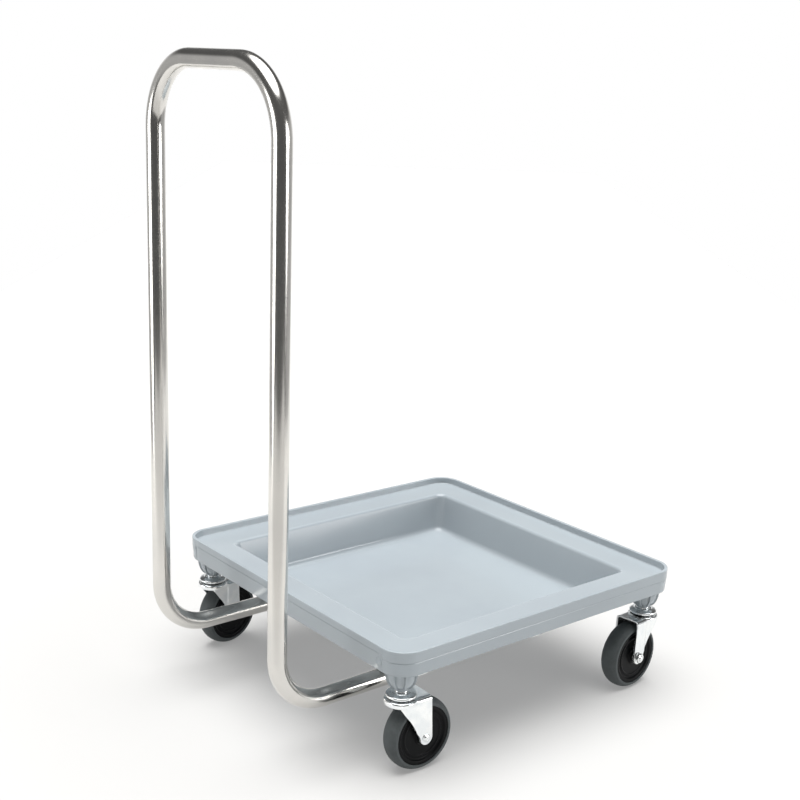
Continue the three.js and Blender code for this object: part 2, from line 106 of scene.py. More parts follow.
class DollyColours(PropertyGroup):
    """Base colours of the finishes."""

    plastic: colour("Plastic", "Blue-grey polypropylene", (0.352, 0.392, 0.422, 1))
    stainless: colour("Stainless", "Polished stainless steel", (0.72, 0.705, 0.675, 1))
    zinc: colour("Zinc", "Bright zinc plate", (0.92, 0.935, 0.93, 1))
    steel: colour("Steel", "Plain bright steel", (0.52, 0.53, 0.54, 1))
    black: colour("Black", "Black moulded plastic", (0.0032, 0.0036, 0.004, 1))
    rubber: colour("Rubber", "Dark grey rubber", (0.064, 0.073, 0.075, 1))
    floor: colour("Floor", "Pale studio floor", (0.42, 0.416, 0.408, 1))


def sizes():
    return bpy.context.scene.dolly_sizes


def colours():
    return bpy.context.scene.dolly_colours


# ---------------- finishes
class Number:
    """A socket that Python arithmetic works on: each sign adds one Math node."""

    def __init__(self, nodes, socket):
        self.nodes = nodes
        self.socket = socket

    def math(self, operation, *values):
        inputs = dict(enumerate(values))
        return self.nodes.add("ShaderNodeMath", {"operation": operation}, inputs)

    def __add__(self, other):
        return self.math("ADD", self, other)

    def __sub__(self, other):
        return self.math("SUBTRACT", self, other)

    def __mul__(self, other):
        return self.math("MULTIPLY", self, other)

    def __rsub__(self, other):
        return self.math("SUBTRACT", other, self)

    __radd__ = __add__


class Nodes:
    """One node tree, and the method that adds any node to it."""

    def __init__(self, tree):
        self.tree = tree

    def add(self, kind, settings=None, inputs=None, output=0):
        """A node of one kind: its settings first, then its sockets' values or links."""
        node = self.tree.nodes.new(kind)
        for key, value in (settings or {}).items():
            setattr(node, key, value)
        for key, value in (inputs or {}).items():
            self.feed(node.inputs[key], value)
        return Number(self, node.outputs[output])

    def feed(self, socket, value):
        """Links another node's socket, or sets a plain value."""
        if isinstance(value, Number):
            self.tree.links.new(value.socket, socket)
        else:
            socket.default_value = value

    def between(self, value, low, high):
        """0 below low and 1 above high, with a smooth step between."""
        inputs = {"Value": value, "From Min": low, "From Max": high}
        return self.add("ShaderNodeMapRange", {"interpolation_type": "SMOOTHSTEP"}, inputs)

    def mix(self, factor, first, second):
        """The first colour where the factor is 0, the second where it is 1."""
        inputs = {0: factor, 6: first, 7: second}
        return self.add("ShaderNodeMix", {"data_type": "RGBA"}, inputs, output=2)

    def share_along(self, vector, way):
        """How far a vector points along a fixed way: their dot product."""
        settings = {"operation": "DOT_PRODUCT"}
        return self.add("ShaderNodeVectorMath", settings, {0: vector, 1: way}, output="Value")


class Finish(Nodes):
    """One material and the nodes that paint it."""

    def __init__(self, name, base, **constants):
        self.base = base
        self.material = bpy.data.materials.new(name)
        self.material.use_nodes = True
        super().__init__(self.material.node_tree)
        self.shader = self.tree.nodes["Principled BSDF"]
        for key, value in constants.items():
            self.shader.inputs[key.replace("_", " ")].default_value = value
        self.place = self.add("ShaderNodeTexCoord", output="Object")

    def noise(self, scale, detail=3, roughness=0.5, place=None):
        inputs = {"Vector": place or self.place, "Scale": scale, "Detail": detail, "Roughness": roughness}
        return self.add("ShaderNodeTexNoise", None, inputs)

    def patches(self, low, high, scale, **noise):
        """Patches of 1 on 0 where a noise is high, with a smooth edge."""
        return self.between(self.noise(scale, **noise), low, high)

    def stretched(self, scale, source=None):
        """Coordinates multiplied by a scale of their own on each axis."""
        return self.add("ShaderNodeMapping", None, {"Vector": source or self.place, "Scale": scale})

    def shade(self, factor, tint=(1, 1, 1)):
        """The base colour times a factor and a tint."""
        return tuple(c * factor * t for c, t in zip(self.base[:3], tint)) + (1,)

    def paint(self, base, roughness, relief, depth):
        """Feeds the shader. The relief runs from 0 to 1, and depth is its size in metres."""
        normal = self.add("ShaderNodeBump", None, {"Height": relief, "Distance": depth, "Strength": 1})
        self.feed(self.shader.inputs["Base Color"], base)
        self.feed(self.shader.inputs["Roughness"], roughness)
        self.feed(self.shader.inputs["Normal"], normal)
        return self.material


def plastic_finish():
    """Injection-moulded polypropylene: a faint flow pattern, orange peel, fine scuffs."""
    finish = Finish("moulded_polypropylene", colours().plastic, Specular_IOR_Level=0.5)
    flow = finish.noise(4, detail=4, roughness=0.55)
    peel = finish.noise(650, detail=2, roughness=0.6)
    grain = finish.noise(2600, detail=1)
    lengthwise, crosswise = finish.stretched((14, 160, 40)), finish.stretched((170, 11, 50))
    scuffs = finish.patches(0.64, 0.72, 5, detail=6, roughness=0.7, place=lengthwise)
    scuffs += finish.patches(0.66, 0.73, 4, detail=6, roughness=0.7, place=crosswise)
    scuffs *= finish.patches(0.45, 0.7, 9, detail=5, roughness=0.6)
    clear, milky = finish.shade(0.96), finish.shade(1.04, (1, 1, 0.99))
    tinted = finish.mix(finish.between(flow, 0.3, 0.7), clear, milky)
    painted = finish.mix(scuffs * 0.22, tinted, finish.shade(1.22))
    roughness = 0.09 + flow * 0.09 + scuffs * 0.18 + grain * 0.03
    return finish.paint(painted, roughness, peel * 0.8 + grain * 0.15 - scuffs * 0.25, depth=0.02 * MM)


def stainless_finish():
    """Drawn tube, polished lengthwise: long hairlines, a soft cloudiness, small handling marks."""
    finish = Finish("polished_stainless_tube", colours().stainless, Metallic=1, Anisotropic=0.35)
    along = finish.add("ShaderNodeTexCoord", output="UV")
    hair = finish.noise(1, roughness=0.6, place=finish.stretched((420, 5, 1), along))
    wide = finish.noise(1, detail=2, place=finish.stretched((60, 1.6, 1), along))
    cloud = finish.noise(14, detail=4, roughness=0.6)
    speck = finish.patches(0.56, 0.72, 900, detail=2, roughness=0.6)
    clear, bright = finish.shade(0.95), finish.shade(1.04, (1, 0.995, 0.985))
    tinted = finish.mix(finish.between(cloud, 0.3, 0.7), clear, bright)
    painted = finish.mix(speck * 0.18, tinted, finish.shade(0.72))
    roughness = 0.1 + hair * 0.07 + cloud * 0.06 + speck * 0.1
    return finish.paint(painted, roughness, hair * 0.7 + wide * 0.3, depth=0.008 * MM)


def zinc_finish():
    """Bright zinc plate over pressed steel: soft rolling grain, a faint blue cast, dull spots."""
    finish = Finish("bright_zinc_plate", colours().zinc, Metallic=1)
    cloud = finish.noise(55)
    grain = finish.noise(1, roughness=0.55, place=finish.stretched((260, 260, 1100)))
    dull = finish.patches(0.56, 0.8, 120, detail=4, roughness=0.6)
    bluish, bright = finish.shade(0.95, (0.98, 1, 1.02)), finish.shade(1.04)
    tinted = finish.mix(finish.between(cloud, 0.35, 0.68), bluish, bright)
    painted = finish.mix(dull * 0.3, tinted, finish.shade(0.82, (1, 0.99, 0.96)))
    roughness = 0.11 + dull * 0.14 + cloud * 0.06 + grain * 0.07
    return finish.paint(painted, roughness, grain * 0.5 + cloud * 0.5, depth=0.012 * MM)


def steel_finish():
    """Plain ground steel with an oily film."""
    finish = Finish("plain_bright_steel", colours().steel, Metallic=1)
    ground = finish.noise(1, roughness=0.6, place=finish.stretched((900, 900, 4000)))
    oil = finish.patches(0.45, 0.65, 170, detail=4, roughness=0.6)
    painted = finish.mix(oil * 0.5, finish.shade(1), finish.shade(0.6, (1, 0.95, 0.85)))
    return finish.paint(painted, 0.22 + ground * 0.14, ground, depth=0.01 * MM)


def black_finish():
    """Black moulded plastic: fine spark-eroded grain and a few pale rubs."""
    finish = Finish("black_moulded_plastic", colours().black, Specular_IOR_Level=0.1)
    grain = finish.noise(1500, detail=2, roughness=0.6)
    cloud = finish.noise(45, detail=4, roughness=0.6)
    rubs = finish.patches(0.62, 0.76, 160, detail=6, roughness=0.75)
    painted = finish.mix(rubs * 0.3 + cloud * 0.1, finish.shade(1), finish.shade(2.4))
    return finish.paint(painted, 0.26 + cloud * 0.1 + rubs * 0.12, grain, depth=0.012 * MM)


def rubber_finish():
    """Grey non-marking rubber: matt, with a fine grain, a dusty tread and faint mottling."""
    finish = Finish("grey_rubber", colours().rubber, Specular_IOR_Level=0.35)
    grain = finish.noise(1900, roughness=0.65)
    mottle = finish.noise(70, detail=5, roughness=0.65)
    dust = finish.patches(0.5, 0.72, 240, detail=5, roughness=0.7)
    tinted = finish.mix(finish.between(mottle, 0.3, 0.7), finish.shade(0.88), finish.shade(1.1))
    painted = finish.mix(dust * 0.22, tinted, finish.shade(1.7, (1, 0.98, 0.94)))
    roughness = 0.58 + mottle * 0.16 + dust * 0.1
    return finish.paint(painted, roughness, grain * 0.8 + mottle * 0.2, depth=0.04 * MM)


def floor_finish():
    """Pale floor with a painted glow: its emission lifts the floor's shade, is weaker near the dolly and full away
    from it so that the floor fades to the white of the room, and dims towards the room's open end so that metal
    reflects a darker floor there.
    """
    finish = Finish("studio_floor", colours().floor, Specular_IOR_Level=0.15, Emission_Strength=0.36)
    cloud = finish.noise(3)
    reach = finish.add("ShaderNodeVectorMath", {"operation": "LENGTH"}, {0: finish.place}, output="Value")
    away = finish.between(reach, 0.3, 1.3)
    open_end = finish.between(finish.share_along(finish.place, OPEN_END), 0.45, 0.95)
    # Painted glow: emission that lightens the floor and its shadows, least near the dolly, full far away, and dim
    # towards the open end.
    painted_glow = (0.62 + away * 0.38) * (1 - open_end)
    dim, full = (0.1, 0.1, 0.1, 1), (1, 1, 1, 1)
    finish.feed(finish.shader.inputs["Emission Color"], finish.mix(painted_glow, dim, full))
    painted = finish.mix(cloud * 0.5, finish.shade(0.99), finish.shade(1))
    return finish.paint(painted, 0.7 + cloud * 0.1, cloud, depth=0.05 * MM)


FINISHES = {
    "tray_plastic": plastic_finish,
    "stainless_tube": stainless_finish,
    "zinc_plate": zinc_finish,
    "race_steel": steel_finish,
    "black_plastic": black_finish,
    "grey_rubber": rubber_finish,
}
MADE = {}


def finish_for(slot):
    """The finish of a material slot, made the first time that it is asked for."""
    if slot not in MADE:
        MADE[slot] = FINISHES[slot]()
    return MADE[slot]


# ---------------- surfaces
MOST_OF_AN_EDGE = 0.48
SOFT_ANGLE = 38
TINY = 1e-9


def rounded(corners, radius, steps=5, closed=True):
    """Rounds each corner of an outline. Two points lie a radius back along its edges, and a
    quadratic curve with the corner as its middle handle joins them."""
    points = np.asarray(corners, float)
    before = np.roll(points, 1, axis=0) - points
    after = np.roll(points, -1, axis=0) - points
    back = np.linalg.norm(before, axis=1, keepdims=True)
    ahead = np.linalg.norm(after, axis=1, keepdims=True)
    reach = np.broadcast_to(np.asarray(radius, float).reshape(-1, 1), (len(points), 1))
    reach = np.minimum(reach, np.minimum(back, ahead) * MOST_OF_AN_EDGE)
    first = points + before / np.maximum(back, TINY) * reach
    last = points + after / np.maximum(ahead, TINY) * reach
    s = np.linspace(0, 1, steps + 1)[None, :, None]
    curve = (1 - s) ** 2 * first[:, None] + 2 * s * (1 - s) * points[:, None] + s**2 * last[:, None]
    if closed:
        return curve.reshape(-1, points.shape[1])
    middle = curve[1:-1].reshape(-1, points.shape[1])
    return np.vstack([points[:1], middle, points[-1:]])


def rounded_rows(rows, steps, closed=True):
    """The same for corners whose last column is their own rounding."""
    rows = np.array(rows)
    return rounded(rows[:, :-1], rows[:, -1], steps, closed)


def subdivided(route, step):
    """Adds even places along any run longer than a step."""
    places = [route[:1]]
    for a, b in zip(route[:-1], route[1:]):
        count = max(1, int(np.ceil(np.linalg.norm(b - a) / step)))
        share = np.linspace(0, 1, count + 1)[1:, None]
        places.append(a + (b - a) * share)
    return np.vstack(places)


def grid_faces(rows, columns, wrap_rows):
    """Quads between neighbouring points of a grid. Its columns close on themselves, and its rows
    may."""
    r, c = np.meshgrid(np.arange(rows if wrap_rows else rows - 1), np.arange(columns), indexing="ij")
    below = (r + 1) % rows
    right = (c + 1) % columns
    start, below = r * columns, below * columns
    return np.stack([start + c, start + right, below + right, below + c], -1).reshape(-1, 4)


def volume(points, faces):
    """Signed volume of a closed surface: over every triangle of each face's fan, the sum of
    a dot (b cross c), over six."""
    total = 0.0
    for block in faces:
        for k in range(1, block.shape[1] - 1):
            a, b, c = points[block[:, 0]], points[block[:, k]], points[block[:, k + 1]]
            total += np.einsum("ij,ij->", a, np.cross(b, c))
    return total / 6


class Shell:
    """One closed surface: points, and blocks of faces turned so that they point outwards. Its two
    ends meet, or close in a fan of triangles or in one flat face each."""

    def __init__(self, grid, ends=None, uv=None):
        rows, columns = grid.shape[:2]
        points = grid.reshape(-1, 3)
        faces = [grid_faces(rows, columns, wrap_rows=ends is None)]
        step = np.arange(columns)
        base = (rows - 1) * columns
        if ends == "fan":
            first, last = np.full(columns, len(points)), np.full(columns, len(points) + 1)
            points = np.vstack([points, grid[0].mean(0), grid[-1].mean(0)])
            following = (step + 1) % columns
            faces.append(np.stack([following, step, first], -1))
            faces.append(np.stack([base + step, base + following, last], -1))
        if ends == "flat":
            faces.append(np.stack([step[::-1], base + step]))
        if volume(points, faces) < 0:
            faces = [block[:, ::-1] for block in faces]
        self.points = points
        self.faces = faces
        self.uv = uv

    def moved(self, turn=0.0, shift=(0, 0, 0)):
        """Turned about Z by an angle, then shifted."""
        c, s = math.cos(turn), math.sin(turn)
        self.points = self.points @ np.array([[c, s, 0], [-s, c, 0], [0, 0, 1]]) + np.asarray(shift, float)
        return self


def revolved(profile, sides, axis="z", ends=None):
    """A profile of (radius, height) carried round an axis: radius times cosine and sine of the
    angle, with the height along the axis. A profile that ends by the axis closes in a fan."""
    profile = np.asarray(profile, float)
    angle = np.linspace(0, 2 * np.pi, sides, endpoint=False)
    radius = profile[:, 0, None]
    height = np.broadcast_to(profile[:, 1, None], (len(profile), sides))
    u, v = radius * np.cos(angle), radius * np.sin(angle)
    order = {"x": (height, u, v), "y": (v, height, u), "z": (u, v, height)}
    return Shell(np.stack(order[axis], -1), ends)


def plate(outline, low, high, bevel, axis="x"):
    """An outline carried straight along an axis, drawn in by a bevel at both ends towards the
    inside of each edge, and closed by a flat face at each end."""
    outline = np.asarray(outline, float)
    edge = np.roll(outline, -1, axis=0) - np.roll(outline, 1, axis=0)
    inward = np.stack([-edge[:, 1], edge[:, 0]], -1)
    inward /= np.maximum(np.linalg.norm(inward, axis=1, keepdims=True), TINY)
    x, y = outline.T
    area = 0.5 * np.sum(x * np.roll(y, -1) - y * np.roll(x, -1))
    inward *= np.sign(area) * bevel
    knee = 0.3
    levels = [(low, 1.0), (low + bevel * knee, knee), (low + bevel, 0.0)]
    levels += [(high - bevel, 0.0), (high - bevel * knee, knee), (high, 1.0)]
    rows = []
    for level, share in levels:
        u, v = (outline + inward * share).T
        depth = np.full(len(u), level)
        rows.append(np.stack({"x": (depth, u, v), "y": (u, depth, v)}[axis], -1))
    return Shell(np.array(rows), ends="flat")


def piece(name, shells, slot, body, nodes, sharp=SOFT_ANGLE):
    """Joins shells into one mesh object, paints it, and rides it on its body."""
    faces = []
    start = 0
    for shell in shells:
        for block in shell.faces:
            faces += (block + start).tolist()
        start += len(shell.points)
    mesh = bpy.data.meshes.new(name)
    mesh.from_pydata(np.vstack([shell.points for shell in shells]).tolist(), [], faces)
    if shells[0].uv is not None:
        layer = mesh.uv_layers.new(name="along")
        corner = np.zeros(len(mesh.loops), np.int32)
        mesh.loops.foreach_get("vertex_index", corner)
        layer.data.foreach_set("uv", shells[0].uv[corner].astype(np.float32).ravel())
    mesh.shade_smooth()
    mesh.set_sharp_from_angle(angle=math.radians(sharp))
    mesh.materials.append(finish_for(slot))
    made = bpy.data.objects.new(name, mesh)
    bpy.context.scene.collection.objects.link(made)
    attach(made, body)
    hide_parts(*nodes)


# ---------------- places from the frame
JOINTS = {joint["name"]: joint for joint in frame["joints"]}
CORNERS = [name[: -len("_swivel")] for name in JOINTS if name.endswith("_swivel")]


class Caster:
    """One caster's place: its swivel axis, its turn about Z, and the local place of its axle.
    In its own frame the axle runs along X and the wheel trails along Y."""

    def __init__(self, corner):
        swivel = JOINTS[corner + "_swivel"]["pos_m"]
        spin = JOINTS[corner + "_spin"]
        self.name = corner
        self.shift = (swivel[0], swivel[1], 0)
        self.turn = math.atan2(spin["axis"][1], spin["axis"][0])
        self.trail = math.hypot(spin["pos_m"][0] - swivel[0], spin["pos_m"][1] - swivel[1])
        self.axle = spin["pos_m"][2]

    def put(self, shell):
        """Turned about Z to the caster's turn, then shifted to its swivel's axis."""
        return shell.moved(self.turn, self.shift)

    def put_on_axle(self, shell):
        """Shifted to the axle in the caster's own frame, then put in its place."""
        shell.points = shell.points + np.array([0, self.trail, self.axle])
        return self.put(shell)

    def heights(self, part):
        """The foot and the top of one of this caster's parts."""
        low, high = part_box(f"{self.name}_{part}")
        return low.z, high.z

    def piece(self, made, part, shells, slot, body=None, sharp=SOFT_ANGLE):
        """One of this caster's pieces. It rides on the deck if it has no body of the caster's."""
        rides_on = f"{self.name}_{body}" if body else "deck"
        piece(f"{self.name}_{made}", shells, slot, rides_on, [f"{self.name}_{part}"], sharp)


def each_caster():
    return [Caster(corner) for corner in CORNERS]


def straight_run(side):
    """One of the tube's two ends as (x, z, radius), from the plug in it."""
    low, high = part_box(f"tube_plug_{side}")
    return (low.x + high.x) / 2, (low.z + high.z) / 2, (high.x - low.x) / 2


# ---------------- tray
ARC_POINTS = 15
REAR = 2
SEAM_AT = 0.0016


def outline_columns(straight_places):
    """Places round a rounded rectangle: for each quarter an arc from 0 to 1, then the straight
    run after it, as (quarter, share of the arc, share of the straight)."""
    quarters = []
    for quarter in range(4):
        quarters += [(quarter, share, 0.0) for share in np.linspace(0, 1, ARC_POINTS)]
        quarters += [(quarter, 1.0, share) for share in straight_places]
    return np.array(quarters)


def carried_round(profile, half, columns, middle):
    """A profile of (inset, corner radius, height) carried round a rounded rectangle. A place is
    the corner's centre plus its radius at the arc's angle, and on a straight run it moves in
    proportion towards the start of the next corner's arc."""
    inset, corner, height = (profile[:, k, None] for k in range(3))
    quarter = columns[:, 0].astype(int)
    sign_x = np.array([1, -1, -1, 1])
    sign_y = np.array([1, 1, -1, -1])

    def on_arc(which, share):
        angle = (which + share) * np.pi / 2
        x = sign_x[which % 4] * (half[0] - inset - corner) + corner * np.cos(angle)
        y = sign_y[which % 4] * (half[1] - inset - corner) + corner * np.sin(angle)
        return x, y

    x0, y0 = on_arc(quarter, columns[:, 1])
    x1, y1 = on_arc(quarter + 1, np.zeros(len(columns)))
    along = columns[:, 2]
    x = x0 + (x1 - x0) * along + middle[0]
    y = y0 + (y1 - y0) * along + middle[1]
    z = np.broadcast_to(height, x.shape).copy()
    return np.stack([x, y, z], -1)


class Tray:
    """The tray's levels and its plan, from the frame's box and mounts."""

    def __init__(self):
        low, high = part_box("tray")
        mounts = {mount["name"]: mount for mount in frame["record"]["mounts"]}
        self.rim = high.z
        self.ledge = mounts["rack_ledge_left"]["pos_m"][2]
        self.floor = mounts["well_floor"]["pos_m"][2]
        self.foot = self.rim - sizes().skirt
        self.middle = ((low.x + high.x) / 2, (low.y + high.y) / 2)
        self.half = ((high.x - low.x) / 2, (high.y - low.y) / 2)


def tray_profile(tray):
    """Corners of the tray's section as (inset, corner radius, height, rounding), from the middle
    of its underside, out over the rim and down into the well."""
    size = sizes()
    wall, skirt, lip = size.tray_wall, size.skirt_wall, size.lip_wall
    big, small = size.tray_corner, size.well_corner
    well = lip + size.ledge_width
    slope = size.well_draft / (tray.ledge - tray.floor)
    well_foot = well + size.well_draft
    inside = well_foot + 30 * MM
    under = tray.floor - wall
    taper = 2 * MM
    parting = tray.foot + 19.3 * MM
    groove = 0.7 * MM
    return [
        (inside, small, under, 0),
        (well_foot + 4 * MM, small, under, 1 * MM),
        (well - wall + (tray.ledge - under) * slope, small + wall, under, 7 * MM),
        (well - wall + wall * slope, small + wall, tray.ledge - wall, 2 * MM),
        (skirt + 1.2 * MM, big - skirt, tray.ledge - wall, 2 * MM),
        (skirt + taper, big - skirt, tray.foot, 1.2 * MM),
        (taper, big - taper, tray.foot, 2.2 * MM),
        (0.5 * MM, big, parting - groove * 1.4, 0.1 * MM),
        (0.85 * MM, big - 0.3 * MM, parting, 0.1 * MM),
        (0.15 * MM, big, parting + groove, 0.1 * MM),
        (0.0, big, tray.rim, 1.6 * MM),
        (lip, big - lip, tray.rim, 1.6 * MM),
        (lip + 0.3 * MM, big - lip, tray.ledge, 1.8 * MM),
        (well, small, tray.ledge, 5.5 * MM),
        (well_foot, small, tray.floor, 8.5 * MM),
        (inside, small, tray.floor, 0),
    ]


def tray_shell(tray):
    """The tray's section carried round its plan. On the rear side the parting line is raised by
    a step, and a fine seam stands at each end of that side."""
    profile = rounded_rows(tray_profile(tray), steps=7, closed=False)
    near_end = [0.0006, SEAM_AT, 0.0026, 0.02, 0.1, 0.25, 0.4]
    far_end = [1 - share for share in near_end[::-1]]
    columns = outline_columns([*near_end, 0.5, *far_end])
    grid = carried_round(profile, tray.half, columns, tray.middle)
    inset, height = profile[:, 0], profile[:, 2]
    quarter, along = columns[:, 0], columns[:, 2]
    near_parting = (inset < 1.2 * MM) & (height < tray.rim - 5 * MM) & (height > tray.foot + 15 * MM)
    rear = (quarter == REAR) & (along > 0.001) & (along < 0.999)
    grid[np.ix_(near_parting, rear)] += np.array([0, 0, 5.4 * MM])
    skirt = (inset < 3 * MM) & (height < tray.rim - 8 * MM) & (height > tray.foot)
    seam = (quarter == REAR) & np.isin(along, (SEAM_AT, 1 - SEAM_AT))
    grid[np.ix_(skirt, seam)] += np.array([0, 0.3 * MM, 0])
    return Shell(grid, ends="fan")


def boss_shells(tray, place):
    """A caster boss: a bored column, a bowl round it, and eight gussets. The gussets' edge is a
    quarter ellipse, and the bowl follows the same edge a little further in."""
    size = sizes()
    top = tray.ledge - size.tray_wall / 2
    foot = place.heights("stem")[1] - size.boss_height
    gusset_foot = foot + 2 * MM
    bore = STEM_RADIUS + PLAY
    draft = 0.8 * MM
    column = [(bore, foot), (size.boss_radius, foot), (size.boss_radius + draft, top), (bore, top)]
    shells = [place.put(revolved(rounded(column, 0.8 * MM, 3), 40))]
    swing = np.linspace(0, np.pi / 2, 12)
    start = size.boss_radius - 0.5 * MM
    edge_y = start + (size.gusset_radius - start) * np.sin(swing)
    edge_z = tray.foot - (tray.foot - gusset_foot) * np.cos(swing)
    edge = np.stack([edge_y, edge_z], -1)
    sunk = 1.8 * MM
    inner = bore + 0.5 * MM
    bowl_edge = edge - np.array([sunk, -sunk / 2])
    bowl = [[inner, gusset_foot + sunk], bowl_edge, [size.gusset_radius - sunk, top], [inner, top]]
    shells.append(place.put(revolved(np.vstack(bowl), 48)))
    inner = bore + 1 * MM
    outline = np.vstack([[inner, gusset_foot], edge, [size.gusset_radius, top], [inner, top]])
    for k in range(8):
        gusset = plate(outline, -1.5 * MM, 1.5 * MM, 0.4 * MM)
        shells.append(gusset.moved((k + 0.5) * math.pi / 4, place.shift))
    return shells


def saddle_shells(tray):
    """Blocks under the well, each with a cradle: an arc round the tube's upper half."""
    shells = []
    under = tray.floor - sizes().tray_wall / 2
    cheek, overhang = 1.5 * MM, 4 * MM
    for side in ("left", "right"):
        x, z, radius = straight_run(side)
        radius += PLAY
        for end in ("rear", "front"):
            low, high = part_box(f"saddle_clip_{end}_{side}")
            half = (high.x - low.x) / 2 + cheek
            foot = high.z + PLAY
            rise = math.asin((foot - z) / radius)
            swing = np.linspace(math.pi - rise, rise, 24)
            arc = np.stack([x + radius * np.cos(swing), z + radius * np.sin(swing)], -1)
            left, right = x - half, x + half
            outline = np.vstack([[left, under], [left, foot], arc, [right, foot], [right, under]])
            shells.append(plate(outline, low.y - overhang, high.y + overhang, 0.7 * MM, axis="y"))
    return shells


def mould_mark(tray):
    """A plain disc with a raised rim, left by the mould's ejector. The rim stands about half a
    millimetre proud of the tapered skirt."""
    radius, inner, rise = 5.5 * MM, 4.9 * MM, 0.6 * MM
    corners = [(radius, 0), (radius, rise), (inner, rise), (inner, 0.2 * MM)]
    ring = revolved(rounded(corners, 0.1 * MM, 2, False), 36, axis="y", ends="fan")
    x = tray.half[0] - sizes().tray_corner - 8 * MM
    y = tray.middle[1] - tray.half[1] + 0.9 * MM
    ring.points = ring.points * np.array([1, -1, 1]) + np.array([x, y, tray.foot + 14 * MM])
    ring.faces = [block[:, ::-1] for block in ring.faces]
    return ring


# ---------------- handle
def bent_route(corners, bends, steps):
    """A line through corners, each rounded to its bend: from the bend's centre the place is
    minus the outgoing way times the cosine plus the incoming way times the sine."""
    corners = [np.asarray(c, float) for c in corners]
    places = [corners[0][None]]
    for before, corner, after, bend in zip(corners, corners[1:], corners[2:], bends):
        inward = (corner - before) / np.linalg.norm(corner - before)
        outward = (after - corner) / np.linalg.norm(after - corner)
        swing = np.linspace(0, np.pi / 2, steps)[:, None]
        centre = corner - inward * bend + outward * bend
        places.append(centre - outward * bend * np.cos(swing) + inward * bend * np.sin(swing))
    places.append(corners[-1][None])
    return np.vstack(places)


def tube_shell(route, radius, bore, sides=64):
    """A hollow round section carried along a route. A section's first axis is Y where the route
    crosses from side to side, and elsewhere the route's way cross the way inwards along X; its
    second axis is the route's way cross the first."""
    route = subdivided(route, 30 * MM)
    way = np.gradient(route, axis=0)
    way /= np.linalg.norm(way, axis=1, keepdims=True)
    inward = np.array([[1.0, 0, 0]]) * -np.sign(route[:, :1])
    crossing = np.abs(way[:, :1]) > 1e-6
    first = np.where(crossing, np.array([[0, 1.0, 0]]), np.cross(way, inward))
    first -= way * np.sum(first * way, axis=1, keepdims=True)
    first /= np.linalg.norm(first, axis=1, keepdims=True)
    second = np.cross(way, first)
    angle = np.linspace(0, 2 * np.pi, sides, endpoint=False)
    ring = first[:, None] * np.cos(angle)[None, :, None] + second[:, None] * np.sin(angle)[None, :, None]
    outside = route[:, None] + ring * radius
    inside = (route[:, None] + ring * bore)[::-1]
    run = np.concatenate([[0], np.cumsum(np.linalg.norm(np.diff(route, axis=0), axis=1))])
    half_girth = 40 * MM
    round_share = np.broadcast_to(np.minimum(angle, 2 * np.pi - angle) / np.pi, (len(route), sides))
    along = np.broadcast_to(run[:, None], round_share.shape)
    uv = np.stack([round_share * half_girth, along], -1)
    uv = np.concatenate([uv, uv[::-1]]).reshape(-1, 2)
    return Shell(np.concatenate([outside, inside]), uv=uv)


# ---------------- operators
class Undoable:
    """What every building operator shares."""

    bl_options = {"REGISTER", "UNDO"}


class DOLLY_OT_tray(Undoable, Operator):
    """The moulded tray with its caster bosses and tube saddles"""

    bl_idname = "dolly.tray"
    bl_label = "Tray"

    def execute(self, context):
        tray = Tray()
        shells = [tray_shell(tray)]
        for place in each_caster():
            shells += boss_shells(tray, place)
        shells += [*saddle_shells(tray), mould_mark(tray)]
        piece("tray_moulding", shells, "tray_plastic", "deck", ["tray"], sharp=50)
        return {"FINISHED"}


class DOLLY_OT_handle(Undoable, Operator):
    """The handle: one hollow tube with four bends"""

    bl_idname = "dolly.handle"
    bl_label = "Handle tube"

    def execute(self, context):
        size = sizes()
        low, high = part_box("handle_tube")
        radius = straight_run("right")[2]
        x, y = high.x - radius, low.y + radius
        foot, top, end = low.z + radius, high.z - radius, high.y
        corners = [(-x, end, foot), (-x, y, foot), (-x, y, top), (x, y, top), (x, y, foot), (x, end, foot)]
        bends = [size.low_bend, size.top_bend, size.top_bend, size.low_bend]
        shell = tube_shell(bent_route(corners, bends, 28), radius, radius - TUBE_WALL)
        piece("handle_bent_tube", [shell], "stainless_tube", "deck", ["handle_tube"])
        return {"FINISHED"}


class DOLLY_OT_plugs(Undoable, Operator):
    """The plastic plugs in the tube's two ends"""

    bl_idname = "dolly.plugs"
    bl_label = "Tube plugs"

    def execute(self, context):
        for side in ("left", "right"):
            name = f"tube_plug_{side}"
            low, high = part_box(name)
            x, z, radius = straight_run(side)
            bore = radius - TUBE_WALL - PLAY
            core = 1 * MM
            rim, tip, dimple = high.y - 2.5 * MM, high.y, high.y - 0.8 * MM
            corners = [
                (core, low.y), (bore, low.y), (bore, rim), (radius, rim), (radius, tip),
                (0.4 * radius, tip), (0.36 * radius, dimple), (core, dimple),
            ]
            shell = revolved(rounded(corners, 0.9 * MM, 4, False), 48, axis="y", ends="fan")
            shell.moved(shift=(x, 0, z))
            piece(f"{name}_moulded", [shell], "black_plastic", "deck", [name])
        return {"FINISHED"}


class DOLLY_OT_clips(Undoable, Operator):
    """The strap clips that hold the tube in its saddles"""

    bl_idname = "dolly.clips"
    bl_label = "Saddle clips"

    def execute(self, context):
        for end in ("rear", "front"):
            for side in ("left", "right"):
                name = f"saddle_clip_{end}_{side}"
                low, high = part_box(name)
                x, z, radius = straight_run(side)
                inner, outer = radius + PLAY, z - low.z
                left, right, top = low.x - x, high.x - x, high.z - z
                ear = top - (outer - inner)
                swing = np.linspace(math.pi, 2 * math.pi, 33)
                arc = np.stack([np.cos(swing), np.sin(swing)], -1)
                under = [[left, ear], [-outer, ear], arc * outer, [outer, ear], [right, ear]]
                over = [[right, top], [inner, top], arc[::-1] * inner, [-inner, top], [left, top]]
                outline = np.vstack(under + over) + np.array([x, z])
                shell = plate(outline, low.y, high.y, 0.35 * MM, axis="y")
                piece(f"{name}_strap", [shell], "zinc_plate", "deck", [name])
        return {"FINISHED"}


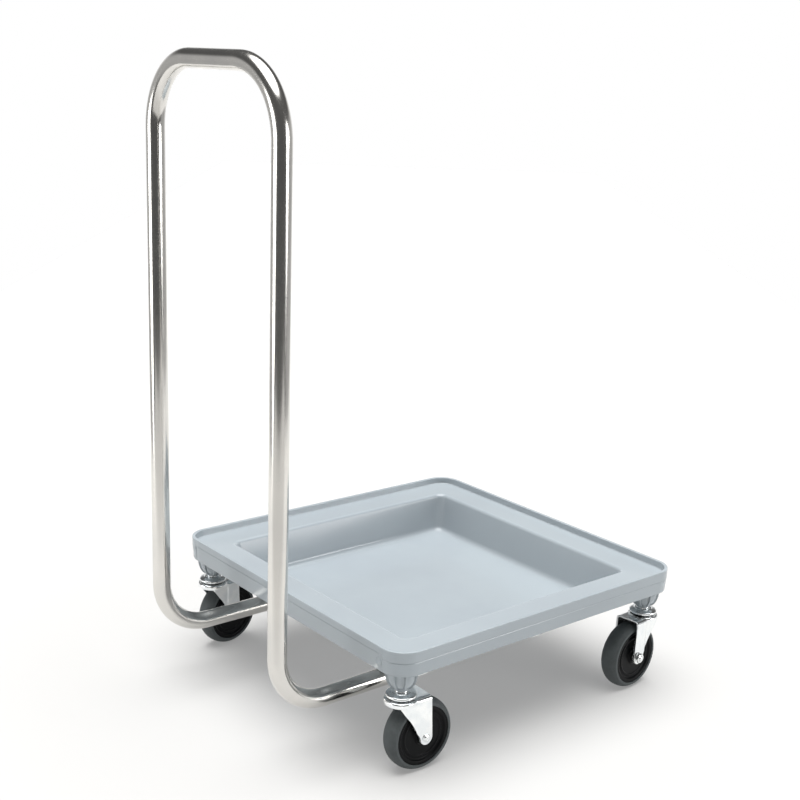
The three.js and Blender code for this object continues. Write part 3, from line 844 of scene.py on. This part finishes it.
class DOLLY_OT_screws(Undoable, Operator):
    """The pan-head screws of the clips, with a cross recess"""

    bl_idname = "dolly.screws"
    bl_label = "Clip screws"

    def execute(self, context):
        for name in sorted(frame["nodes"]):
            if name.startswith("clip_screw"):
                low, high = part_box(name)
                shell = self.screw((high.x - low.x) / 2, low.z, high.z)
                shell.moved(shift=((low.x + high.x) / 2, (low.y + high.y) / 2, 0))
                piece(f"{name}_head", [shell], "zinc_plate", "deck", [name])
        return {"FINISHED"}

    def screw(self, radius, foot, top):
        """A turned screw. Its recess is deepest on the head's two middle lines and shallower in
        proportion to the way from them and from the head's centre."""
        core, shank = 0.2 * MM, 2.4 * MM
        side, seat, point = foot + 1.4 * MM, foot + 2.8 * MM, top - 2 * MM
        corners = [
            (core, foot), (radius * 0.75, foot), (radius, side), (radius, seat), (shank, seat),
            (shank, point), (core, top),
        ]
        profile = subdivided(rounded(corners, 0.8 * MM, 6, False), 0.4 * MM)
        shell = revolved(profile, 48, ends="fan")
        x, y, z = shell.points.T
        arm_half, arm_reach, depth = 0.7 * MM, 2.7 * MM, 1.6 * MM
        arm = np.clip(1 - np.minimum(np.abs(x), np.abs(y)) / arm_half, 0, 1)
        cut = arm * np.clip(1 - np.hypot(x, y) / arm_reach, 0, 1) * depth
        shell.points[:, 2] += np.where(z < foot + 0.9 * MM, cut, 0)
        return shell


class DOLLY_OT_stems(Undoable, Operator):
    """The casters' stems, with a collar above and a riveted kingpin head below"""

    bl_idname = "dolly.stems"
    bl_label = "Stems"

    def execute(self, context):
        core, radius, head, collar, chamfer = 0.6 * MM, STEM_RADIUS, 9 * MM, 9.6 * MM, 1.2 * MM
        for place in each_caster():
            foot, top = place.heights("stem")
            dimple, crown, shoulder = foot + 1.5 * MM, foot + 2.5 * MM, foot + 5.5 * MM
            collar_foot = place.heights("race_cap")[1] + PLAY
            collar_top = collar_foot + 2 * MM
            corners = [
                (core, dimple), (2 * MM, dimple), (3 * MM, foot), (head * 0.62, foot), (head, crown),
                (head, shoulder), (radius, shoulder), (radius, collar_foot), (collar, collar_foot),
                (collar, collar_top), (radius, collar_top), (radius, top - chamfer),
                (radius - chamfer, top), (core, top),
            ]
            shell = revolved(rounded(corners, 0.7 * MM, 4, False), 56, ends="fan")
            place.piece("stem_turned", "stem", [place.put(shell)], "zinc_plate")
        return {"FINISHED"}


class DOLLY_OT_caps(Undoable, Operator):
    """The upper race caps, pressed with a rolled edge"""

    bl_idname = "dolly.caps"
    bl_label = "Race caps"

    def execute(self, context):
        bore, radius = STEM_RADIUS + PLAY, 20.6 * MM
        for place in each_caster():
            foot, top = place.heights("race_cap")
            under, edge = foot + 2 * MM, foot + 0.05 * MM
            rows = [
                (bore, under, 0.2 * MM), (13 * MM, under, 1 * MM), (16 * MM, foot + 1.6 * MM, 1 * MM),
                (18.4 * MM, edge, 0.6 * MM), (radius, edge, 0.9 * MM),
                (radius, foot + 2.9 * MM, 1.3 * MM), (radius - 2.6 * MM, foot + 4.3 * MM, 1 * MM),
                (13.4 * MM, top - 1.2 * MM, 1 * MM), (12.4 * MM, top, 0.8 * MM), (bore, top, 0.3 * MM),
            ]
            shell = revolved(rounded_rows(rows, 5), 72)
            place.piece("race_cap_pressed", "race_cap", [place.put(shell)], "zinc_plate")
        return {"FINISHED"}


class DOLLY_OT_balls(Undoable, Operator):
    """The ball races: a cage ring and its balls"""

    bl_idname = "dolly.balls"
    bl_label = "Ball races"

    def execute(self, context):
        inner, outer, edge, circle = 13 * MM, 16.4 * MM, 0.2 * MM, 16.7 * MM
        open_pole = 0.12
        swing = np.linspace(-math.pi / 2 + open_pole, math.pi / 2 - open_pole, 9)
        for place in each_caster():
            foot, top = place.heights("ball_ring")
            middle, radius = (foot + top) / 2, (top - foot) / 2
            cage = [(inner, foot + edge), (outer, foot + edge), (outer, top - edge), (inner, top - edge)]
            shells = [place.put(revolved(rounded(cage, 0.4 * MM, 3), 48))]
            ball = radius * np.stack([np.cos(swing), np.sin(swing)], -1)
            for k in range(sizes().balls):
                angle = 2 * math.pi * k / sizes().balls
                centre = (circle * math.cos(angle), circle * math.sin(angle), middle)
                shells.append(place.put(revolved(ball, 12, ends="fan").moved(shift=centre)))
            place.piece("ball_race", "ball_ring", shells, "race_steel", "swivel")
        return {"FINISHED"}


def smooth_through(xs, ys, at):
    """A curve through points: a cubic on each stretch, with each point's slope from its
    neighbours."""
    slope = np.gradient(ys, xs)
    k = np.clip(np.searchsorted(xs, at) - 1, 0, len(xs) - 2)
    width = xs[k + 1] - xs[k]
    t = (at - xs[k]) / width
    return (
        (2 * t**3 - 3 * t**2 + 1) * ys[k] + (t**3 - 2 * t**2 + t) * width * slope[k]
        + (-2 * t**3 + 3 * t**2) * ys[k + 1] + (t**3 - t**2) * width * slope[k + 1]
    )


def fork_section(place, top):
    """Places up one leg, over the top and down the other, as (x, z, front edge, rear edge). A leg
    ends in a round tip about the axle, and its front edge sweeps back from the stem to the tip."""
    size = sizes()
    half = size.fork_width / 2 - size.fork_sheet / 2
    level = top - size.fork_sheet / 2
    bend, tip = 4.5 * MM, 10 * MM
    over_front, over_rear = -13 * MM, 36 * MM
    swing = np.linspace(0.12, np.pi / 2, 12)
    tip_half = tip * np.sin(swing)
    leg_z = np.linspace(place.axle + 3 * MM, level - bend, 26)
    above_axle = np.array([0, 8, 18, 28, 37, 44, 49, 58.5]) * MM
    behind_stem = np.array([18.8, 15.0, 9.4, 3.2, -4.0, -9.2, -12.4, -13.4]) * MM
    leg_front = smooth_through(place.axle + above_axle, behind_stem, leg_z)
    leg_rear = np.interp(leg_z, [place.axle, level], [place.trail + tip, over_rear])
    turn = np.linspace(0, np.pi / 2, 9)[1:]
    over_x = np.concatenate([half - bend + bend * np.cos(turn), np.linspace(half - bend, 0, 7)[1:]])
    over_z = level - bend + bend * np.sin(np.concatenate([turn, np.full(6, np.pi / 2)]))
    across = np.ones(len(over_x))
    x = np.concatenate([np.full(len(swing) + len(leg_z), half), over_x])
    z = np.concatenate([place.axle - tip * np.cos(swing), leg_z, over_z])
    front = np.concatenate([place.trail - tip_half, leg_front, across * over_front])
    rear = np.concatenate([place.trail + tip_half, leg_rear, across * over_rear])
    mirrored = slice(-2, None, -1)
    return [np.concatenate([x, -x[mirrored]])] + [np.concatenate([v, v[mirrored]]) for v in (z, front, rear)]


def fork_sheet(place, top):
    """The fork's bent sheet. Across, a place runs up a leg, over the top and down the other leg;
    along, it runs from the front edge to the rear edge. The strip behind the crease stands out
    by a smooth step, and the sheet's two faces lie half its thickness each side of that surface."""
    size = sizes()
    x, z, front, rear = (row[:, None] for row in fork_section(place, top))
    y = front + (rear - front) * np.linspace(0, 1, 72)
    grid = np.stack([np.broadcast_to(x, y.shape), y, np.broadcast_to(z, y.shape)], -1)
    step = np.clip((y - 13.2 * MM) / (3.4 * MM), 0, 1)
    step = step * step * (3 - 2 * step)
    fade = np.clip((top - 3 * MM - z) / (5 * MM), 0, 1)
    tip_fade = np.clip((z - place.axle) / (6 * MM), 0, 1)
    grid[..., 0] -= np.sign(x) * size.leg_step * (1 - step) * fade * tip_fade
    normal = np.cross(np.gradient(grid, axis=0), np.gradient(grid, axis=1))
    normal /= np.maximum(np.linalg.norm(normal, axis=2, keepdims=True), 1e-12)
    half = size.fork_sheet / 2
    faces = [grid + normal * half, grid - normal * half]
    for face in faces:
        face[:, 0, 1] += 0.5 * MM
        face[:, -1, 1] -= 0.5 * MM
    closed = np.concatenate([grid[:, :1], faces[0], grid[:, -1:], faces[1][:, ::-1]], axis=1)
    return Shell(closed, ends="flat")


class DOLLY_OT_forks(Undoable, Operator):
    """The pressed forks: a round flange and two legs with a stiffening step"""

    bl_idname = "dolly.forks"
    bl_label = "Forks"

    def execute(self, context):
        sheet = sizes().fork_sheet
        bore, radius = STEM_RADIUS + 2 * PLAY, 22.7 * MM
        for place in each_caster():
            top = place.heights("fork")[1]
            edge = top - 7.6 * MM
            rows = [
                (bore, top - sheet, 0.3 * MM), (radius - sheet, top - sheet, 2 * MM),
                (radius - sheet, edge, 0.6 * MM), (radius, edge, 0.9 * MM),
                (radius, top, 3.4 * MM), (bore, top, 0.3 * MM),
            ]
            shells = [place.put(revolved(rounded_rows(rows, 7), 80)), place.put(fork_sheet(place, top))]
            place.piece("fork_pressed", "fork", shells, "zinc_plate", "swivel", sharp=48)
        return {"FINISHED"}


class DOLLY_OT_bolts(Undoable, Operator):
    """The axle bolts, each with a rounded end and a domed head that has a shallow dimple"""

    bl_idname = "dolly.bolts"
    bl_label = "Axle bolts"

    def execute(self, context):
        half, core, radius, head = sizes().fork_width / 2, 0.4 * MM, BOLT_RADIUS, 5.9 * MM
        end, under = -(half + 6.8 * MM), half + PLAY
        dimple, crown = under + 2.2 * MM, under + 2.8 * MM
        rows = [
            (core, end, 0), (2.6 * MM, end, 1.6 * MM), (radius, end + 1.9 * MM, 1.6 * MM),
            (radius, under, 0), (head, under, 0.2 * MM), (head, under + 0.7 * MM, 0.3 * MM),
            (5.0 * MM, under + 0.9 * MM, 0.3 * MM), (4.4 * MM, under + 2.1 * MM, 1.1 * MM),
            (2.6 * MM, crown, 0.9 * MM), (1.2 * MM, crown, 0.3 * MM),
            (0.8 * MM, dimple, 0.3 * MM), (core, dimple, 0),
        ]
        for place in each_caster():
            shell = revolved(rounded_rows(rows, 6, False), 48, axis="x", ends="fan")
            place.piece("axle_bolt_domed", "axle_bolt", [place.put_on_axle(shell)], "zinc_plate", "swivel")
        return {"FINISHED"}


class DOLLY_OT_nuts(Undoable, Operator):
    """The axle nuts: six flats, their corners taken off by a cone"""

    bl_idname = "dolly.nuts"
    bl_label = "Axle nuts"

    def execute(self, context):
        half = sizes().fork_width / 2
        low, high = -(half + 4.5 * MM), -(half + PLAY)
        flat, bore, sides = 6.5 * MM, BOLT_RADIUS + PLAY, 96
        angle = np.linspace(0, 2 * np.pi, sides, endpoint=False)
        hexagon = flat / np.cos((angle + np.pi / 6) % (np.pi / 3) - np.pi / 6)
        edge, shoulder = 0.2 * MM, 1 * MM
        levels = np.array([high, low, low, low + edge, low + shoulder, high - shoulder, high - edge, high])
        cone = flat - 0.3 * MM + np.array([0, 0.4, 1.4, 1.4, 0.4, 0])[:, None] * MM
        radius = np.vstack([np.full((2, sides), bore), np.minimum(hexagon, cone)])
        x = np.broadcast_to(levels[:, None], radius.shape)
        grid = np.stack([x, radius * np.sin(angle), radius * np.cos(angle)], -1)
        for place in each_caster():
            shell = place.put_on_axle(Shell(grid))
            place.piece("axle_nut_hex", "axle_nut", [shell], "zinc_plate", "swivel", sharp=25)
        return {"FINISHED"}


class DOLLY_OT_bushes(Undoable, Operator):
    """The sleeves that the hubs turn on"""

    bl_idname = "dolly.bushes"
    bl_label = "Axle bushes"

    def execute(self, context):
        half = sizes().fork_width / 2 - sizes().fork_sheet - PLAY
        inner, outer = BOLT_RADIUS + PLAY, BUSH_RADIUS
        profile = rounded([(inner, -half), (outer, -half), (outer, half), (inner, half)], 0.4 * MM, 3)
        for place in each_caster():
            shell = place.put_on_axle(revolved(profile, 48, axis="x"))
            place.piece("axle_bush_turned", "axle_bush", [shell], "race_steel", "swivel")
        return {"FINISHED"}


def hub_profile(rim, half):
    """One side's section of a hub as (radius, way along the axle, rounding) from its bore out to
    its rim, then the other side's mirrored."""
    face, web, ring, groove, flange = (half - drop * MM for drop in (0.5, 3.4, 2.5, 3.6, 1.0))
    side = [
        (BUSH_RADIUS + PLAY, face, 0.5 * MM), (11.6 * MM, face, 1.2 * MM), (12.8 * MM, web, 1.6 * MM),
        (27.5 * MM, web, 0.7 * MM), (28.4 * MM, ring, 0.8 * MM), (30.4 * MM, ring, 0.8 * MM),
        (31.4 * MM, groove, 0.8 * MM), (34.2 * MM, groove, 1.2 * MM), (36.4 * MM, flange, 1.1 * MM),
        (rim, flange, 0.6 * MM),
    ]
    other = [(radius, -along, rounding) for radius, along, rounding in side[::-1]]
    return rounded_rows(side + other, 5)


class DOLLY_OT_hubs(Undoable, Operator):
    """The wheel hubs: dished discs with a raised ring"""

    bl_idname = "dolly.hubs"
    bl_label = "Wheel hubs"

    def execute(self, context):
        size = sizes()
        for place in each_caster():
            profile = hub_profile(place.axle - size.tyre_wall, size.tread_width / 2)
            shell = place.put_on_axle(revolved(profile, 96, axis="x"))
            place.piece("hub_moulded", "wheel_hub", [shell], "black_plastic", "wheel")
        return {"FINISHED"}


def tyre_profile(radius, inner, half):
    """A tyre's section: flat sides, and a crown whose drop grows with the 2.6th power of the way
    out from the middle, with a fine line left by the mould."""
    share = np.linspace(-1, 1, 41)
    drop, line_depth, line_at, line_half = 5.2 * MM, 0.25 * MM, 0.86, 0.02
    crown = radius - drop * np.abs(share) ** 2.6
    crown -= line_depth * np.exp(-((np.abs(share) - line_at) / line_half) ** 2)
    shoulder, cheek, relief = radius - 6.2 * MM, radius - 8.3 * MM, half - 0.1 * MM
    return np.vstack([
        [inner, -half], [cheek, -half], [shoulder, -relief], np.stack([crown, share * half], -1),
        [shoulder, relief], [cheek, half], [inner, half],
    ])


class DOLLY_OT_tyres(Undoable, Operator):
    """The rubber tyres"""

    bl_idname = "dolly.tyres"
    bl_label = "Tyres"

    def execute(self, context):
        size = sizes()
        for place in each_caster():
            inner = place.axle - size.tyre_wall + PLAY
            profile = tyre_profile(place.axle, inner, size.tread_width / 2)
            shell = place.put_on_axle(revolved(profile, 128, axis="x"))
            place.piece("tyre_moulded", "tyre", [shell], "grey_rubber", "wheel", sharp=60)
        return {"FINISHED"}


# ---------------- stage
CAMERA_PLACE = (1.4253, -1.1679, 0.9108)
CAMERA_ANGLES = (50.744, 14.729, 1.926)
LENS, SENSOR = 59.55, 36


def camera_frame(azimuth, elevation, roll):
    """The camera's right, up and back ways from its angles in degrees."""
    a, e, r = (math.radians(v) for v in (azimuth, elevation, roll))
    back = Vector((math.sin(a) * math.cos(e), -math.cos(a) * math.cos(e), math.sin(e)))
    level = Vector((0, 0, 1)).cross(back).normalized()
    upright = back.cross(level)
    right = level * math.cos(r) + upright * math.sin(r)
    up = upright * math.cos(r) - level * math.sin(r)
    return right, up, back


def studio_room():
    """A room with white paper round its lower part and one end open and dark. Soft boxes to the
    left and right of the open end and a lamp overhead light it. Seen straight, it is white."""
    world = bpy.data.worlds.new("studio_room")
    world.use_nodes = True
    nodes = Nodes(world.node_tree)
    way = nodes.add("ShaderNodeTexCoord", output="Generated")
    open_end = nodes.share_along(way, OPEN_END)
    to_right = nodes.share_along(way, (0.865, 0.495, 0.087))
    to_left = nodes.share_along(way, (-0.36, -0.933, 0.0))
    up = nodes.share_along(way, (0.0, 0.0, 1.0))
    dark = nodes.between(open_end, -0.1, 0.4)
    low = 1 - nodes.between(up, 0.16, 0.42)
    behind = nodes.between(0 - open_end, 0.55, 0.9)
    paper = low * (1 - dark) * (0.36 + behind * 0.44)
    right_box = nodes.between(to_right, 0.965, 0.98) * 7.0
    left_box = nodes.between(to_left, 0.945, 0.975) * 4.8
    ceiling = nodes.between(up, 0.78, 0.96) * 6.8
    light = 0.1 + paper + right_box + left_box + ceiling
    seen = nodes.add("ShaderNodeLightPath", output="Is Camera Ray")
    background = world.node_tree.nodes["Background"]
    background.inputs["Color"].default_value = (1, 1, 1, 1)
    nodes.feed(background.inputs["Strength"], light + seen * (1 - light))
    bpy.context.scene.world = world


def floor_strip():
    """A strip of pale paper: its corners lie so far along the room's open end and its far end,
    and half its width to each side of that line."""
    towards, across = np.array(OPEN_END), np.array([-OPEN_END[1], OPEN_END[0], 0])
    near, far, half = 1.9, -9.0, 1.5
    along = np.array([far, near, near, far])[:, None]
    aside = np.array([-half, -half, half, half])[:, None]
    mesh = bpy.data.meshes.new("studio_floor")
    mesh.from_pydata((along * towards + aside * across).tolist(), [], [(0, 1, 2, 3)])
    mesh.materials.append(floor_finish())
    floor = bpy.data.objects.new("studio_floor", mesh)
    bpy.context.scene.collection.objects.link(floor)


class DOLLY_OT_stage(Undoable, Operator):
    """The pale floor with its painted glow, the room with its lights, and the camera"""

    bl_idname = "dolly.stage"
    bl_label = "Stage"

    def execute(self, context):
        floor_strip()
        studio_room()
        data = bpy.data.cameras.new("camera")
        data.sensor_width = SENSOR
        data.lens = LENS
        camera = bpy.data.objects.new("camera", data)
        turn = Matrix(camera_frame(*CAMERA_ANGLES)).transposed().to_4x4()
        camera.matrix_world = Matrix.Translation(CAMERA_PLACE) @ turn
        bpy.context.scene.collection.objects.link(camera)
        bpy.context.scene.camera = camera
        bpy.context.scene.view_settings.view_transform = "Standard"
        return {"FINISHED"}


OPERATORS = (
    DOLLY_OT_tray, DOLLY_OT_handle, DOLLY_OT_plugs, DOLLY_OT_clips, DOLLY_OT_screws, DOLLY_OT_stems,
    DOLLY_OT_caps, DOLLY_OT_balls, DOLLY_OT_forks, DOLLY_OT_bolts, DOLLY_OT_nuts, DOLLY_OT_bushes,
    DOLLY_OT_hubs, DOLLY_OT_tyres, DOLLY_OT_stage,
)


class DOLLY_PT_panel(Panel):
    """Lists the dolly's pieces and its sizes and colours"""

    bl_idname = "DOLLY_PT_panel"
    bl_label = "Rack Dolly"
    bl_space_type = "VIEW_3D"
    bl_region_type = "UI"
    bl_category = "Dolly"

    def draw(self, context):
        for operator in OPERATORS:
            self.layout.operator(operator.bl_idname)
        for group in (context.scene.dolly_sizes, context.scene.dolly_colours):
            for key in group.__annotations__:
                self.layout.prop(group, key)


CLASSES = (DollySizes, DollyColours, *OPERATORS, DOLLY_PT_panel)


def register():
    for cls in CLASSES:
        bpy.utils.register_class(cls)
    bpy.types.Scene.dolly_sizes = PointerProperty(type=DollySizes)
    bpy.types.Scene.dolly_colours = PointerProperty(type=DollyColours)


def unregister():
    del bpy.types.Scene.dolly_colours
    del bpy.types.Scene.dolly_sizes
    for cls in reversed(CLASSES):
        bpy.utils.unregister_class(cls)


def main():
    register()
    for operator in OPERATORS:
        group, name = operator.bl_idname.split(".")
        getattr(getattr(bpy.ops, group), name)()


if __name__ == "__main__":
    main()
